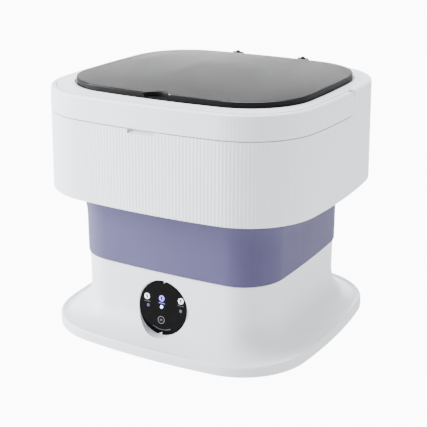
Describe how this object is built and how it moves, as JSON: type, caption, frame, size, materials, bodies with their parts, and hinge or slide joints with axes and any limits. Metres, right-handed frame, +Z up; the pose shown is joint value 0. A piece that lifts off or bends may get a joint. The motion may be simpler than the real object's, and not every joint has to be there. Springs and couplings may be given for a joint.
{
  "type": "portable mini washer",
  "caption": "Folding mini washer: a tub on a flared base with a round touch panel, a soft folding wall, a slide-down upper shell, a swing lid and a carry handle.",
  "frame": {"origin": "on the floor, at the centre of the footprint", "axes": "+Z up; the control panel faces -Y; +X is to the right, seen from the front"},
  "size_m": [0.33, 0.31, 0.2918],
  "materials": {
    "white_plastic": "satin moulded",
    "handle_white": "satin moulded",
    "trim_white": "gloss",
    "grey_plastic": "moulded",
    "black_plastic": "satin moulded",
    "pulsator_plastic": "satin moulded",
    "lavender_silicone": "matte silicone",
    "black_rubber": "matte",
    "panel_gloss": "high gloss",
    "smoked_lid": "smoked, polished",
    "board_green": "solder mask",
    "screw_steel": "plated",
    "motor_steel": "drawn can",
    "bush_brass": "turned"
  },
  "bodies": {
    "base": {"base_housing": "white_plastic", "bottom_cover": "grey_plastic", "rubber_feet": "black_rubber", "bottom_screws": "screw_steel", "lower_tub": "white_plastic", "drain_spout": "grey_plastic", "power_socket": "black_plastic", "panel_lens": "panel_gloss", "panel_ring": "trim_white", "control_board": "board_green", "folding_wall": "lavender_silicone", "shaft_bushes": "bush_brass", "shaft_seal": "black_rubber", "motor_can": "motor_steel", "motor_screws": "screw_steel", "drive_belt": "black_rubber"},
    "pulsator": {"pulsator": "pulsator_plastic", "pulsator_cap": "pulsator_plastic", "pulsator_screw": "screw_steel", "pulsator_shaft": "screw_steel", "drive_pulley": "grey_plastic"},
    "motor_rotor": {"motor_shaft": "screw_steel", "motor_pulley": "grey_plastic"},
    "drain_stopper": {"drain_stopper": "black_rubber"},
    "upper_shell": {"upper_shell": "white_plastic", "inner_collar": "white_plastic", "collar_screws": "screw_steel", "wall_clamp_ring": "grey_plastic", "handle_pins": "grey_plastic", "hinge_pins": "screw_steel"},
    "carry_handle": {"carry_handle": "handle_white"},
    "lid": {"lid_panel": "smoked_lid", "lid_frame": "black_plastic", "lid_gasket": "black_rubber"}
  },
  "joints": [
    {"name": "fold_slide", "type": "slide", "parent": "base", "child": "upper_shell", "axis": [0, 0, -1], "range_m": [0, 0.15], "deforming": ["folding_wall"]},
    {"name": "lid_hinge", "type": "hinge", "parent": "upper_shell", "child": "lid", "pos_m": [0, 0.1429, 0.2884], "axis": [-1, 0, 0], "range_deg": [0, 105]},
    {"name": "handle_swing", "type": "hinge", "parent": "upper_shell", "child": "carry_handle", "pos_m": [0, 0.01, 0.2723], "axis": [-1, 0, 0], "range_deg": [0, 90]},
    {"name": "pulsator_spin", "type": "hinge", "parent": "base", "child": "pulsator", "pos_m": [0, 0, 0.05], "axis": [0, 0, 1], "continuous": true},
    {"name": "motor_spin", "type": "hinge", "parent": "base", "child": "motor_rotor", "pos_m": [-0.0725, 0, 0.012], "axis": [0, 0, 1], "continuous": true},
    {"name": "stopper_lift", "type": "slide", "parent": "base", "child": "drain_stopper", "axis": [0, 0, 1], "range_m": [0, 0.06]}
  ],
  "couplings": [
    {"joint": "motor_spin", "follows": "pulsator_spin", "ratio": 4}
  ]
}
